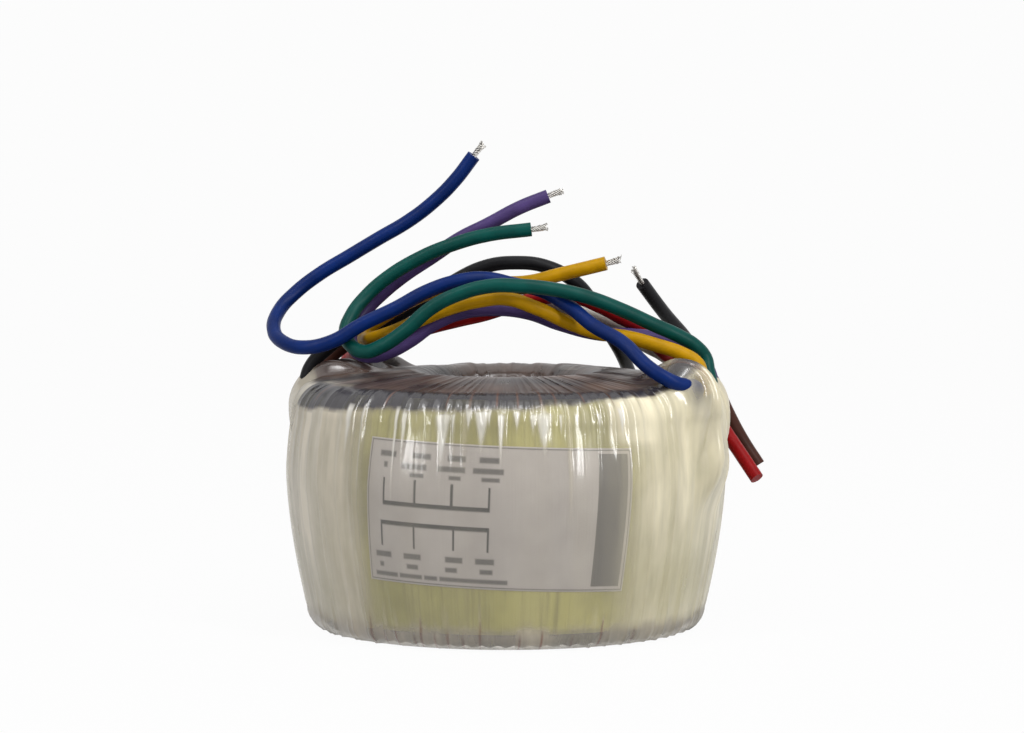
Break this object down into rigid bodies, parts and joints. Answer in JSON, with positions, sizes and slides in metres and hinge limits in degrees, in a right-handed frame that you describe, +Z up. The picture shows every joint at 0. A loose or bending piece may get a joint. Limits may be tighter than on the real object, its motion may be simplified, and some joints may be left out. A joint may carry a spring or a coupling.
{
  "type": "toroidal transformer",
  "caption": "Film-wrapped toroidal mains transformer standing flat, with flying leads rising from its shoulders and a centre hole for its bolt",
  "frame": {"origin": "centre of the flat bottom face, leads not counted", "axes": "+Z up along the centre hole, -Y towards the rating label, +X to the right of it"},
  "size_m": [0.1319, 0.1272, 0.1266],
  "materials": {
    "core_steel": "wound grain-oriented strip, bare",
    "core_cap": "moulded plastic",
    "insulating_film": "polyester film",
    "enamelled_wire": "enamelled copper wire, clear brown enamel",
    "band_tape": "dull yellow polyester tape",
    "label": "grey label stock under film",
    "clear_film": "clear to hazy polyester film in many layers",
    "joint_sleeve": "insulating sleeve",
    "lead_black": "extruded PVC",
    "lead_white": "extruded PVC",
    "lead_brown": "extruded PVC",
    "lead_red": "extruded PVC",
    "lead_purple": "extruded PVC",
    "lead_green": "extruded PVC",
    "lead_yellow": "extruded PVC",
    "lead_blue": "extruded PVC",
    "tinned_strand": "tinned copper strands"
  },
  "bodies": {
    "root": {"core": "core_steel", "core_cap_top": "core_cap", "core_cap_bottom": "core_cap", "core_band_outer": "insulating_film", "core_band_inner": "insulating_film", "primary_winding": "enamelled_wire", "interwinding_film": "insulating_film", "secondary_winding": "enamelled_wire", "outer_band": "band_tape", "rating_label": "label", "outer_film": "clear_film", "joint_sleeves_primary": "joint_sleeve", "joint_sleeves_secondary": "joint_sleeve", "lead_black": "lead_black", "lead_white": "lead_white", "lead_brown": "lead_brown", "lead_red": "lead_red", "lead_purple": "lead_purple", "lead_green": "lead_green", "lead_yellow": "lead_yellow", "lead_blue": "lead_blue", "conductor_black": "tinned_strand", "conductor_purple": "tinned_strand", "conductor_green": "tinned_strand", "conductor_yellow": "tinned_strand", "conductor_blue": "tinned_strand"}
  },
  "joints": []
}
